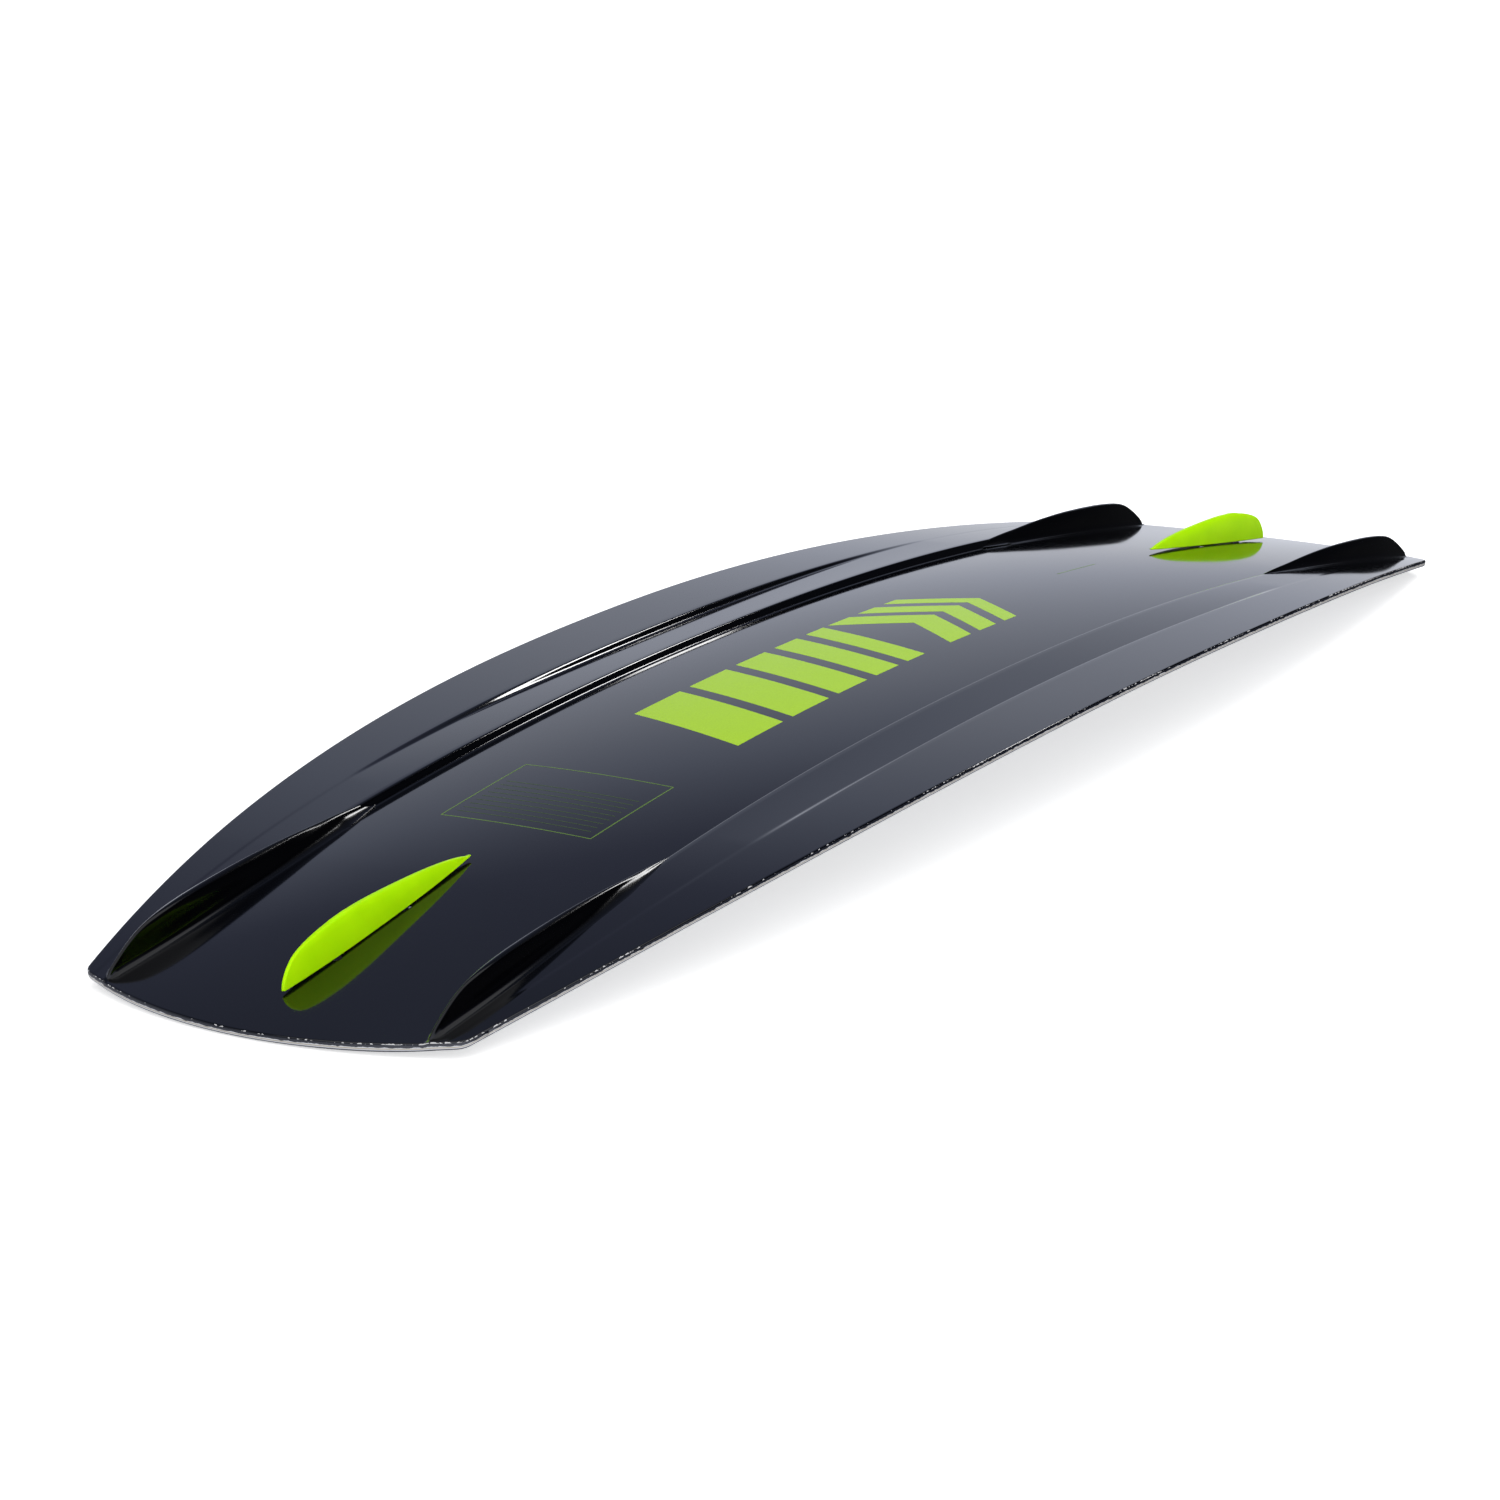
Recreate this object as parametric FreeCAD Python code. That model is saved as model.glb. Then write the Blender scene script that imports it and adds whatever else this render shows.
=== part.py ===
"""Twin-tip wakeboard with moulded side fins and two bolted centre fins, as separate pieces.

The board lies base up on its two tips, as it does on a table.
+X runs along the board to the tail, +Y to its left edge, +Z up through the base.
The origin is on the ground, under the middle of the board.  Lengths are in millimetres.
"""
import FreeCAD
import Part
import math
import os

V = FreeCAD.Vector

# ---- driving dimensions ------------------------------------------------------------------
LENGTH = 1430.0            # tip to tip
WIDTH = 425.0              # at the middle
ROCKER = 69.2              # height of the base at the middle over its tips
ROCKER_POWER = 2.1037      # 2 is a parabola; higher is flatter in the middle
CORNER_X = 682.6           # where the long edge turns into the tip
CORNER_Y = 138.0
OUTLINE_POWER = 2.4406
CORNER_ROUND = 12.0
EDGE_THICK = 5.5           # the thin outer edge
EDGE_WIDTH = 8.0           # how far the edge strip reaches inboard
FLAT_EDGE = 14.0           # width of the deck's flat border, before its bevel
MID_THICK = 22.0           # board thickness in the middle of the centre panel
TIP_THICK = 5.5
BEVEL_WIDTH = 50.0         # deck bevel from the edge to the full thickness
STAND_HEIGHT = EDGE_THICK + 1.7   # puts the lowest point of the edge on the ground

SHEET = 0.7                # base sheet and deck sheet
LAMINATE = 1.0
GLUE_LINE = 0.05           # left open between bonded pieces

# channels moulded in the base
PANEL_DROP_TIP = 1.2       # crown of the centre panel under the rocker line, at the fins
PANEL_DROP_MID = 3.0       # and at the middle of the board
CROWN = 5.2                # how far the centre panel falls from its crown to its sides
CROWN_END_X = 720.0
CROWN_STEPS = 4            # flats from the crown to each side
RAIL_DROP_MID = 3.5        # crest of the inner rail under the rocker line
EDGE_DROP_TIP = 1.7
EDGE_DROP_MID = 3.7
RAIL_Y = 115.6             # crest of the inner rail
RAIL_RUN = 2.6             # width of its steep inner wall
STEP_SHARE = 0.422         # outer step: its share of the way from the inner rail to the edge
STEP_RUN = 2.6
STEP_HEIGHT = 4.0
STEP_END_X = 385.0         # the outer step fades out here
CHANNEL_END_X = 500.0
FIN_LEVEL_X = 600.0        # rail crests sink into the panel between here and the tip

# binding inserts: two rows 6 inches apart, 1 inch pitch
INCH = 25.4
STANCE_X = 11.0 * INCH
INSERT_ROW_Y = 3.0 * INCH
INSERT_COLUMNS = 6
INSERT_R = 5.5
INSERT_BORE_R = 2.5        # M6 thread, minor radius
INSERT_LENGTH = 14.0
INSERT_BORE_DEPTH = 12.0
BLOCK_WIDTH = 30.0
BLOCK_LENGTH = 165.0

STRINGER_Y = 42.0
STRINGER_THICK = 3.0

# fins: each row is a level section, with its height over the foot, its inner and tip ends
# along the board, and its half thickness
FIN_X = 570.5
FIN_SECTIONS = (
    (-4.0, -106.0, 102.3, 5.5),
    (0.0, -101.7, 101.7, 5.4),
    (4.0, -91.0, 100.8, 5.1),
    (8.5, -73.0, 98.0, 4.7),
    (13.0, -49.0, 93.5, 4.0),
    (17.0, -22.0, 87.0, 3.3),
    (19.7, -1.0, 77.0, 2.6),
    (21.5, 16.0, 64.0, 1.9),
    (22.4, 30.0, 50.0, 1.2),
)
FIN_GAP = 0.3              # between a bolted fin's foot and the base
SIDE_FIN_X = 552.0
SIDE_FIN_Y = 117.2
SIDE_FIN_SECTIONS = (
    (-9.0, -158.0, 140.5, 8.4),
    (-4.0, -133.0, 139.0, 7.7),
    (0.0, -108.0, 134.5, 7.0),
    (3.0, -85.0, 129.0, 6.2),
    (7.0, -56.0, 120.5, 5.2),
    (10.0, -30.0, 113.0, 4.3),
    (12.5, -3.0, 105.0, 3.4),
    (14.3, 25.0, 95.5, 2.5),
    (15.3, 47.0, 84.0, 1.6),
)
SECTION_FULLNESS = 2.6     # 2 is a parabolic half section; higher is blunter

# fin screws, M5, put in from the deck; their places along the fin
SCREW_PLACES = {"inner": -24.0, "outer": 48.0}
SCREW_R = 2.5
SCREW_HEAD_R = 4.6
SCREW_HEAD = 2.6
SCREW_IN_FIN = 7.5
SOCKET_FLATS = 3.0         # hexagon socket in the head
SOCKET_DEPTH = 1.7
THREAD_CLEARANCE = 0.05
BARREL_R = 3.2
BARREL_LENGTH = 8.0
SLEEVE_R = 4.5
SLEEVE_BORE_R = 2.9
WASHER_R = 8.0
WASHER_THICK = 1.6
RECESS_R = 8.6
RECESS_DEPTH = 1.4

EDGE_SPLIT_X = 664.0       # the tip strips meet the side strips here

STATION_STEP = 60.0
LAST_STATION = 730.0
EXTRA_WIDTH = 16.0         # planks are lofted wider than the board, then trimmed to its outline
FAR = 200.0                # long enough to cut through the whole board

ENDS = {"nose": -1, "tail": 1}
SIDES = {"left": 1, "right": -1}


# ---- the shape of the board --------------------------------------------------------------
def rocker(x):
    """Height of the rocker line over the ground."""
    return STAND_HEIGHT + ROCKER * (1.0 - abs(2.0 * x / LENGTH) ** ROCKER_POWER)


def half_width(x):
    return WIDTH / 2 + (CORNER_Y - WIDTH / 2) * abs(x / CORNER_X) ** OUTLINE_POWER


def swell(x):
    """1 at the middle of the board, 0 where the channels end."""
    return max(0.0, 1.0 - (x / CHANNEL_END_X) ** 2) ** 1.3


def smooth_step(value, start, end):
    share = min(1.0, max(0.0, (value - start) / (end - start)))
    return share * share * (3.0 - 2.0 * share)


def panel_drop(x):
    return PANEL_DROP_TIP + (PANEL_DROP_MID - PANEL_DROP_TIP) * swell(x)


def crown(x):
    return CROWN * max(0.0, 1.0 - (x / CROWN_END_X) ** 4)


def rail_drop(x):
    sink = smooth_step(abs(x), FIN_LEVEL_X, LENGTH / 2)
    return RAIL_DROP_MID * swell(x) + PANEL_DROP_TIP * sink


def edge_drop(x):
    return EDGE_DROP_TIP + (EDGE_DROP_MID - EDGE_DROP_TIP) * swell(x)


def step_height(x):
    return STEP_HEIGHT * max(0.0, 1.0 - (x / STEP_END_X) ** 2) ** 1.2


def thickness(x):
    return TIP_THICK + (MID_THICK - TIP_THICK) * (1.0 - min(1.0, abs(2.0 * x / LENGTH)) ** 3)


def base_line(x):
    """Half of the base's cross-section, from the middle out, as (y, height)."""
    z = rocker(x)
    wide = half_width(x)
    rail = RAIL_Y + 5.0 * (x / 1000.0) ** 2
    step = rail + (wide - rail) * (STEP_SHARE + 0.4 * (x / 1000.0) ** 2)
    rail_z = z - rail_drop(x)
    edge_z = z - edge_drop(x)
    slope = (edge_z - rail_z) / (wide - rail)
    step_z = rail_z + slope * (step - rail)
    panel = []
    for i in range(1, CROWN_STEPS + 1):
        share = i / CROWN_STEPS
        panel.append(((rail - RAIL_RUN) * share, z - panel_drop(x) - crown(x) * share ** 2))
    return panel + [
        (rail, rail_z),
        (step - STEP_RUN, step_z - step_height(x)),
        (step, step_z),
        (wide + EXTRA_WIDTH, edge_z + slope * EXTRA_WIDTH),
    ]


def deck_line(x):
    """Half of the deck's cross-section, from the edge in, as (y, height)."""
    z = rocker(x)
    wide = half_width(x)
    edge_z = z - edge_drop(x) - EDGE_THICK
    full_z = z - panel_drop(x) - thickness(x)
    return [
        (wide + EXTRA_WIDTH, edge_z),
        (wide - FLAT_EDGE, edge_z),
        (wide - BEVEL_WIDTH, full_z),
    ]


def plank(under_base, over_deck):
    """The board from `under_base` below its base to `over_deck` above its deck, untrimmed."""
    return loft_sections(lambda x: section(x, under_base, over_deck))


def layer_under_base(upper, lower):
    """A layer that follows the base, between two depths below it."""
    def outline(x):
        half = base_line(x)
        top = [(y, z - upper) for y, z in half]
        bottom = [(y, z - lower) for y, z in reversed(half)]
        return top + bottom
    return loft_sections(outline)


def layer_over_deck(upper, lower):
    """A layer that follows the deck, between two heights above it."""
    def outline(x):
        half = deck_line(x)
        top = [(y, z + upper) for y, z in reversed(half)]
        bottom = [(y, z + lower) for y, z in half]
        return top + bottom
    return loft_sections(outline)


def section(x, under_base, over_deck):
    top = [(y, z - under_base) for y, z in base_line(x)]
    bottom = [(y, z + over_deck) for y, z in deck_line(x)]
    return top + bottom


def loft_sections(outline):
    """A solid through cross-sections; outline(x) gives the left half, from the top middle round."""
    count = int(math.ceil(2 * LAST_STATION / STATION_STEP))
    stations = [-LAST_STATION + 2 * LAST_STATION * i / count for i in range(count + 1)]
    wires = []
    for x in stations:
        left = outline(x)
        points = [V(x, y, z) for y, z in left]
        points += [V(x, -y, z) for y, z in reversed(left)]
        wires.append(Part.makePolygon(points + [points[0]]))
    return Part.makeLoft(wires, True, False)


def outline_prism(inset):
    """An upright block with the board's outline, moved in by `inset`."""
    corner_x = CORNER_X - inset
    count = 20
    side = []
    for i in range(count + 1):
        x = corner_x * (1.0 - 2.0 * i / count)
        side.append(V(x, half_width(x) - inset, 0))
    left = Part.BSplineCurve()
    left.interpolate(side)
    right = Part.BSplineCurve()
    right.interpolate([V(-p.x, -p.y, 0) for p in side])
    tip = V(LENGTH / 2 - inset, 0, 0)
    nose = Part.Arc(side[-1], -tip, V(side[-1].x, -side[-1].y, 0))
    tail = Part.Arc(-side[-1], tip, side[0])
    wire = Part.Wire([left.toShape(), nose.toShape(), right.toShape(), tail.toShape()])
    prism = Part.Face(wire).extrude(V(0, 0, FAR))
    corners = [edge for edge in prism.Edges if is_vertical(edge)]
    return prism.makeFillet(CORNER_ROUND - inset / 2, corners)


def is_vertical(edge):
    a, b = edge.Vertexes[0].Point, edge.Vertexes[-1].Point
    return abs(a.x - b.x) < 1e-6 and abs(a.y - b.y) < 1e-6 and abs(a.z - b.z) > 1.0


def side_block(low, high):
    """Everything between two distances to the left of the board's middle line."""
    return Part.makeBox(2 * LAST_STATION, high - low, 2 * FAR, V(-LAST_STATION, low, -FAR))


# ---- the laminated board -----------------------------------------------------------------
def base_sheet(outline, holes):
    return layer_under_base(0.0, SHEET).common(outline).cut(holes)


def base_laminate(core_outline, holes):
    layer = layer_under_base(SHEET + GLUE_LINE, SHEET + LAMINATE)
    return layer.common(core_outline).cut(holes)


def deck_laminate(core_outline, holes):
    layer = layer_over_deck(SHEET + LAMINATE, SHEET + GLUE_LINE)
    return layer.common(core_outline).cut(holes)


def deck_sheet(core_outline, holes):
    return layer_over_deck(SHEET, 0.0).common(core_outline).cut(holes)


def edge_strips(outline, edge_inside):
    """The pale strip round the edge: two long sides and two tips."""
    ring = plank(SHEET + GLUE_LINE, 0.0).common(outline.cut(edge_inside))
    tip_block = Part.makeBox(FAR, WIDTH, 2 * FAR, V(EDGE_SPLIT_X, -WIDTH / 2, -FAR))
    strips = {}
    for end, sign in ENDS.items():
        block = tip_block if sign > 0 else tip_block.mirror(V(), V(1, 0, 0))
        strips["edge_" + end] = ring.common(block)
        ring = ring.cut(block)
    for side, sign in SIDES.items():
        block = side_block(0, WIDTH) if sign > 0 else side_block(-WIDTH, 0)
        strips["edge_" + side] = ring.common(block)
    return strips


def core_pieces(core_plank, core_outline, holes, blocks):
    """Foam between two stringers and outside them, cut out for what is buried in it."""
    core = core_plank.common(core_outline).cut(holes)
    near = STRINGER_Y - STRINGER_THICK / 2
    far = STRINGER_Y + STRINGER_THICK / 2
    pieces = {"core_centre": core.common(side_block(-near, near))}
    for side, sign in SIDES.items():
        low, high = sorted((sign * near, sign * far))
        pieces["stringer_" + side] = core.common(side_block(low, high))
        low, high = sorted((sign * far, sign * WIDTH))
        pieces["core_" + side] = core.common(side_block(low, high)).cut(blocks)
    return pieces


# ---- binding inserts ---------------------------------------------------------------------
def insert_xs(end):
    first = -(INSERT_COLUMNS - 1) / 2
    return [ENDS[end] * STANCE_X + (first + i) * INCH for i in range(INSERT_COLUMNS)]


def insert_rods(end, side, radius, depth):
    """Upright rods from below the deck to `depth` above it, one per insert in a row."""
    rods = []
    for x in insert_xs(end):
        deck_z = deck_line(x)[-1][1]
        foot = V(x, SIDES[side] * INSERT_ROW_Y, deck_z - 5)
        rods.append(Part.makeCylinder(radius, depth + 5, foot))
    return Part.makeCompound(rods)


def insert_row(end, side, board):
    rods = insert_rods(end, side, INSERT_R, INSERT_LENGTH)
    bores = insert_rods(end, side, INSERT_BORE_R, INSERT_BORE_DEPTH)
    return rods.common(board).cut(bores)


def insert_block(end, side, core_plank):
    corner = V(
        ENDS[end] * STANCE_X - BLOCK_LENGTH / 2,
        SIDES[side] * INSERT_ROW_Y - BLOCK_WIDTH / 2,
        0,
    )
    return core_plank.common(Part.makeBox(BLOCK_LENGTH, BLOCK_WIDTH, FAR, corner))


# ---- fins --------------------------------------------------------------------------------
def fin_tilt(x):
    """Angle of the base under the rocker line, in degrees."""
    share = abs(2.0 * x / LENGTH)
    slope = ROCKER * ROCKER_POWER * share ** (ROCKER_POWER - 1.0) / (LENGTH / 2)
    return math.degrees(math.atan(slope))


def fin_placement(end, x, y, drop):
    """Local X runs to the tip along the base, local Z straight out of the base."""
    turn = 0.0 if ENDS[end] > 0 else 180.0
    rotation = FreeCAD.Rotation(V(0, 0, 1), turn).multiply(
        FreeCAD.Rotation(V(0, 1, 0), fin_tilt(x))
    )
    return FreeCAD.Placement(V(ENDS[end] * x, y, rocker(x) - drop), rotation)


def fin_section(height, inner, outer, half_thick):
    """A closed level section, pointed at both ends."""
    middle = (inner + outer) / 2
    reach = (outer - inner) / 2
    left = []
    for share in (-1.0, -0.8, -0.45, 0.0, 0.45, 0.8, 1.0):
        bulge = half_thick * (1.0 - abs(share) ** SECTION_FULLNESS)
        left.append(V(middle + reach * share, bulge, height))
    right = [V(p.x, -p.y, p.z) for p in reversed(left)]
    edges = []
    for points in (left, right):
        curve = Part.BSplineCurve()
        curve.interpolate(points)
        edges.append(curve.toShape())
    return Part.Wire(edges)


def fin_blank(sections):
    return Part.makeLoft([fin_section(*row) for row in sections], True, False)


def side_fin(end, side, board):
    place = fin_placement(end, SIDE_FIN_X, SIDES[side] * SIDE_FIN_Y, 0.0)
    blank = fin_blank(SIDE_FIN_SECTIONS)
    blank.Placement = place
    return blank.cut(board)


def centre_fin_place(end):
    return fin_placement(end, FIN_X, 0.0, panel_drop(FIN_X))


def along_screw(end, spot, radius, low, high):
    """A rod on a fin screw's axis, between two heights over the base."""
    rod = Part.makeCylinder(radius, high - low, V(SCREW_PLACES[spot], 0, low))
    rod.Placement = centre_fin_place(end)
    return rod


def centre_fin(end, raised_board):
    blank = fin_blank(FIN_SECTIONS)
    blank.Placement = centre_fin_place(end)
    blank = blank.cut(raised_board)
    for spot in SCREW_PLACES:
        blank = blank.cut(along_screw(end, spot, BARREL_R, -FAR / 10, BARREL_LENGTH + 1.0))
    return blank


def fin_barrels(end):
    """Brass thread inserts moulded into a centre fin."""
    barrels = []
    for spot in SCREW_PLACES:
        outside = along_screw(end, spot, BARREL_R, 1.0, BARREL_LENGTH + 1.0)
        thread = along_screw(end, spot, SCREW_R + THREAD_CLEARANCE, 0.0, BARREL_LENGTH)
        barrels.append(outside.cut(thread))
    return Part.makeCompound(barrels)


def deck_depth(end, spot):
    """Distance from a centre fin's foot to the deck, down a screw's axis."""
    place = centre_fin_place(end)
    low, high = 0.0, 2 * MID_THICK
    while high - low > 0.001:
        depth = (low + high) / 2
        point = place.multVec(V(SCREW_PLACES[spot], 0, -depth))
        if point.z > deck_line(point.x)[-1][1]:
            low = depth
        else:
            high = depth
    return depth


def recess_floor(end, spot):
    return RECESS_DEPTH - deck_depth(end, spot)


def fin_sleeves(end, board, recesses):
    """Tubes that line the screw holes through the board."""
    tubes = []
    for spot in SCREW_PLACES:
        outside = along_screw(end, spot, SLEEVE_R, -FAR, FAR)
        tubes.append(outside.cut(along_screw(end, spot, SLEEVE_BORE_R, -FAR, FAR)))
    return Part.makeCompound(tubes).common(board).cut(recesses)


def fin_washer(end, spot):
    floor = recess_floor(end, spot)
    disc = along_screw(end, spot, WASHER_R, floor - WASHER_THICK, floor)
    return disc.cut(along_screw(end, spot, SLEEVE_BORE_R, floor - FAR / 10, FAR))


def fin_screw(end, spot):
    under_head = recess_floor(end, spot) - WASHER_THICK
    shank = along_screw(end, spot, SCREW_R, under_head - 1.0, SCREW_IN_FIN)
    head = along_screw(end, spot, SCREW_HEAD_R, under_head - SCREW_HEAD, under_head)
    return head.fuse(shank).cut(hexagon_socket(end, spot, under_head - SCREW_HEAD))


def hexagon_socket(end, spot, low):
    radius = SOCKET_FLATS / 2 / math.cos(math.pi / 6)
    corners = []
    for i in range(6):
        angle = i * math.pi / 3
        x = SCREW_PLACES[spot] + radius * math.cos(angle)
        corners.append(V(x, radius * math.sin(angle), low - 1.0))
    face = Part.Face(Part.makePolygon(corners + [corners[0]]))
    socket = face.extrude(V(0, 0, SOCKET_DEPTH + 1.0))
    socket.Placement = centre_fin_place(end)
    return socket


# ---- everything --------------------------------------------------------------------------
def build():
    outline = outline_prism(0.0)
    core_outline = outline_prism(EDGE_WIDTH + GLUE_LINE)
    board = plank(0.0, 0.0)
    raised_board = plank(-FIN_GAP, 0.0)
    skin = SHEET + LAMINATE + GLUE_LINE
    core_plank = plank(skin, skin)
    screws = [(end, spot) for end in ENDS for spot in SCREW_PLACES]
    rows = [(end, side) for end in ENDS for side in SIDES]

    sleeve_holes = Part.makeCompound([along_screw(e, s, SLEEVE_R, -FAR, FAR) for e, s in screws])
    recesses = Part.makeCompound(
        [along_screw(e, s, RECESS_R, -FAR / 10, recess_floor(e, s)) for e, s in screws]
    )
    insert_holes = Part.makeCompound(
        [insert_rods(e, s, INSERT_R, INSERT_LENGTH) for e, s in rows]
    )
    holes = Part.makeCompound([sleeve_holes, recesses, insert_holes])
    blocks = {row: insert_block(row[0], row[1], core_plank) for row in rows}

    nodes = {
        "base_sheet": base_sheet(outline, sleeve_holes),
        "base_laminate": base_laminate(core_outline, sleeve_holes),
        "deck_laminate": deck_laminate(core_outline, holes),
        "deck_sheet": deck_sheet(core_outline, holes),
    }
    nodes.update(edge_strips(outline, outline_prism(EDGE_WIDTH)))
    filled = Part.makeCompound(list(blocks.values()))
    nodes.update(core_pieces(core_plank, core_outline, holes, filled))
    for end, side in rows:
        name = end + "_" + side
        nodes["insert_block_" + name] = blocks[end, side].cut(insert_holes)
        nodes["binding_inserts_" + name] = insert_row(end, side, board)
        nodes["side_fin_" + name] = side_fin(end, side, board)
    for end in ENDS:
        nodes["centre_fin_" + end] = centre_fin(end, raised_board)
        nodes["fin_barrels_" + end] = fin_barrels(end)
        nodes["fin_sleeves_" + end] = fin_sleeves(end, board, recesses)
    for end, spot in screws:
        name = end + "_" + spot
        nodes["fin_screw_" + name] = fin_screw(end, spot)
        nodes["fin_washer_" + name] = fin_washer(end, spot)
    return nodes


def main():
    os.makedirs("parts", exist_ok=True)
    for name, shape in build().items():
        shape.exportStep("parts/" + name + ".step")


main()
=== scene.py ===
"""Looks of a twin-tip wakeboard that lies base up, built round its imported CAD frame.

The board's shape follows the CAD's own formulas, here in metres: +X along the board to the tail,
+Y to its left edge, +Z up through the base, with the ground at zero.
"""
import math

import bmesh
import bpy
import numpy as np
from mathutils import Matrix, Vector


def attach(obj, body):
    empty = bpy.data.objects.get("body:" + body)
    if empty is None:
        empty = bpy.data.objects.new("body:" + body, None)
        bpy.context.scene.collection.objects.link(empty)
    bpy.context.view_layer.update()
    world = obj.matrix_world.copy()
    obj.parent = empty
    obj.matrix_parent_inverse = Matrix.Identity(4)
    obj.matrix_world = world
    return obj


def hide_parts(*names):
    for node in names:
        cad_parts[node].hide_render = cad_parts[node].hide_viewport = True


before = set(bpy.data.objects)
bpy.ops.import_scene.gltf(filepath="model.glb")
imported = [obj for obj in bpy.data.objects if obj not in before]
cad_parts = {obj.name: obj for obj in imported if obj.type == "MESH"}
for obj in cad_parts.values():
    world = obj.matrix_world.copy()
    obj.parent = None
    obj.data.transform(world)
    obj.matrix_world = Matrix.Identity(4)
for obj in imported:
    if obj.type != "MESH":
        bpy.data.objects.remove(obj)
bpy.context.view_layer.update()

# ---- the board's dimensions, as in the CAD ---------------------------------------------------
LENGTH = 1.430             # tip to tip
WIDTH = 0.425              # at the middle
ROCKER = 0.0692            # height of the base at the middle over its tips
ROCKER_POWER = 2.1037
CORNER_X = 0.6826          # where the long edge turns into the tip
CORNER_Y = 0.138
OUTLINE_POWER = 2.4406
CORNER_ROUND = 0.012
EDGE_THICK = 0.0055        # the thin outer edge
EDGE_WIDTH = 0.008         # how far the edge strip reaches inboard
FLAT_EDGE = 0.014          # width of the deck's flat border, before its bevel
MID_THICK = 0.022          # board thickness in the middle
TIP_THICK = 0.0055
BEVEL_WIDTH = 0.050        # deck bevel from the edge to the full thickness
STAND_HEIGHT = 0.0072      # height of the base at its tips over the ground
SHEET = 0.0007             # base sheet

PANEL_DROP_TIP = 0.0012    # crown of the centre panel under the rocker line, at the fins
PANEL_DROP_MID = 0.0030    # and at the middle of the board
CROWN = 0.0052             # how far the centre panel falls from its crown to its sides
CROWN_END_X = 0.720
RAIL_DROP_MID = 0.0035     # crest of the inner rail under the rocker line
EDGE_DROP_TIP = 0.0017
EDGE_DROP_MID = 0.0037
RAIL_Y = 0.1156            # crest of the inner rail
RAIL_SPREAD = 0.005        # times x squared: how much further out the crest is
RAIL_RUN = 0.0026          # width of its steep inner wall
STEP_SHARE = 0.422         # outer step: its share of the way from the rail to the edge
STEP_SPREAD = 0.4          # times x squared: how much that share grows
STEP_RUN = 0.0026
STEP_HEIGHT = 0.0040
STEP_END_X = 0.385         # the outer step fades out here
CHANNEL_END_X = 0.500
FIN_LEVEL_X = 0.600        # rail crests sink into the panel between here and the tip
EDGE_SPLIT_X = 0.664       # where the edge's side strips end

FIN_X = 0.5705             # middle of a bolted fin
FIN_GAP = 0.0003           # between a bolted fin and the base
SIDE_FIN_X = 0.552         # middle of a moulded fin
SIDE_FIN_Y = 0.1172
SIDE_FIN_MIDDLE = -0.0055  # middle and half length of a moulded fin's mesh, along the fin
SIDE_FIN_REACH = 0.1445
SECTION_FULLNESS = 2.6     # 2 is a parabolic half section; higher is blunter
# each level's height over the foot, inner end, end towards the tip, and half thickness
FIN_SECTIONS = (
    (0.0000, -0.1017, 0.1017, 0.0054),
    (0.0040, -0.0910, 0.1008, 0.0051),
    (0.0085, -0.0730, 0.0980, 0.0047),
    (0.0130, -0.0490, 0.0935, 0.0040),
    (0.0170, -0.0220, 0.0870, 0.0033),
    (0.0197, -0.0010, 0.0770, 0.0026),
    (0.0215, 0.0160, 0.0640, 0.0019),
    (0.0224, 0.0300, 0.0500, 0.0012),
)
SIDE_FIN_SECTIONS = (
    (-0.0090, -0.1580, 0.1405, 0.0084),
    (-0.0040, -0.1330, 0.1390, 0.0077),
    (0.0000, -0.1080, 0.1345, 0.0070),
    (0.0030, -0.0850, 0.1290, 0.0062),
    (0.0070, -0.0560, 0.1205, 0.0052),
    (0.0100, -0.0300, 0.1130, 0.0043),
    (0.0125, -0.0030, 0.1050, 0.0034),
    (0.0143, 0.0250, 0.0955, 0.0025),
    (0.0153, 0.0470, 0.0840, 0.0016),
)
SCREW_PLACES = (-0.024, 0.048)    # inner and outer, along the fin from its middle
SLEEVE_R = 0.0045          # bore through the board
BARREL_R = 0.0032          # bore in the fin
BARREL_TOP = 0.009         # how far the bores reach into the fin

# ---- what the looks add ----------------------------------------------------------------------
PANEL_FLAT = 1.55 / 16.0   # how far the smooth panel starts under its crown, as a share of it
SOFTNESS = 0.0013          # how far the channel's crests and feet are rounded
SLOPE_STEP = 0.0005        # half the run over which the long edge's slope is taken
FOOT_ROUND = 0.0050        # where a moulded fin runs out into the base
FIN_EDGE_ROUND = 0.0011    # radius of a fin's edges
FOOT_ROLL = 0.0007         # round at the foot of a bolted fin
RIDGE_RISE = 0.0006        # round over its ridge
ENDS = {"nose": -1, "tail": 1}
SIDES = {"left": 1, "right": -1}


# ---- the shape of the board ------------------------------------------------------------------
def rocker(x):
    """Height of the rocker line, that the base is measured from."""
    return STAND_HEIGHT + ROCKER * (1.0 - np.abs(2.0 * x / LENGTH) ** ROCKER_POWER)


def half_width(x):
    return WIDTH / 2 + (CORNER_Y - WIDTH / 2) * np.abs(x / CORNER_X) ** OUTLINE_POWER


def edge_slope(x):
    """How fast the long edge closes in, along the board."""
    return (half_width(x + SLOPE_STEP) - half_width(x - SLOPE_STEP)) / (2 * SLOPE_STEP)


def swell(x):
    """1 at the middle of the board, 0 where the channels end."""
    return np.maximum(0.0, 1.0 - (x / CHANNEL_END_X) ** 2) ** 1.3


def smooth_step(value, start, end):
    share = np.clip((value - start) / (end - start), 0.0, 1.0)
    return share * share * (3.0 - 2.0 * share)


def panel_drop(x):
    """How far the panel's crown lies under the rocker line."""
    return PANEL_DROP_TIP + (PANEL_DROP_MID - PANEL_DROP_TIP) * swell(x)


def rail_line(x):
    return RAIL_Y + RAIL_SPREAD * x ** 2


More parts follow.
